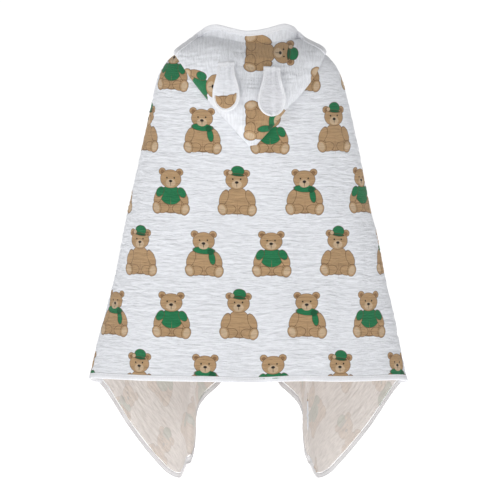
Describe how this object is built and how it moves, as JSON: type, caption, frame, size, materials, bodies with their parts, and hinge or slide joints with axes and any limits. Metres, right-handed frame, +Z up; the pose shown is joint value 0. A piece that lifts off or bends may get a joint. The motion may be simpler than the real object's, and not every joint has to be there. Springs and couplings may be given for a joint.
{
  "type": "hooded baby towel",
  "caption": "Hooded baby towel in crinkled cotton, draped as worn, with a pointed hood, two ears, front flaps and bound edges.",
  "frame": {"origin": "the neck support: the point midway between the two places where the cloth crosses the shoulders beside the neck", "axes": "+Z up; -Y towards the back of the wearer, where the hood hangs; +X to the right as seen from behind"},
  "size_m": [0.559, 0.2334, 0.7961],
  "materials": {
    "cloth": "crinkled double gauze, printed with plain teddy bears",
    "ear_cloth": "crinkled double gauze, plain",
    "binding": "smooth cotton bias binding"
  },
  "bodies": {
    "back": {"back_panel": "cloth", "back_hem_binding": "binding", "neck_tape": "binding"},
    "hood": {"hood_outer_panel": "cloth", "hood_nape_panel": "cloth", "hood_face_binding": "binding"},
    "left_ear": {"left_ear_facing": "ear_cloth", "left_ear_backing": "cloth", "left_ear_binding": "binding", "left_ear_band": "binding"},
    "right_ear": {"right_ear_facing": "ear_cloth", "right_ear_backing": "cloth", "right_ear_binding": "binding", "right_ear_band": "binding"},
    "left_flap": {"left_front_flap": "cloth", "left_flap_binding": "binding"},
    "right_flap": {"right_front_flap": "cloth", "right_flap_binding": "binding"}
  },
  "joints": [
    {"name": "hood_tip_up", "type": "hinge", "parent": "back", "child": "hood", "pos_m": [0, 0, 0.003], "axis": [-1, 0, 0], "range_deg": [0, 140]},
    {"name": "left_ear_lift", "type": "hinge", "parent": "hood", "child": "left_ear", "pos_m": [-0.04101, -0.09019, -0.04576], "axis": [-1, 0, 0], "range_deg": [0, 150]},
    {"name": "right_ear_lift", "type": "hinge", "parent": "hood", "child": "right_ear", "pos_m": [0.03793, -0.09492, -0.05464], "axis": [-1, 0, 0], "range_deg": [0, 150]},
    {"name": "left_flap_open", "type": "hinge", "parent": "back", "child": "left_flap", "pos_m": [-0.064, 0.031, -0.01], "axis": [0.319, 0.0258, 0.9474], "range_deg": [0, 120]},
    {"name": "right_flap_open", "type": "hinge", "parent": "back", "child": "right_flap", "pos_m": [0.064, 0.031, -0.01], "axis": [0.319, -0.0258, -0.9474], "range_deg": [0, 120]}
  ]
}
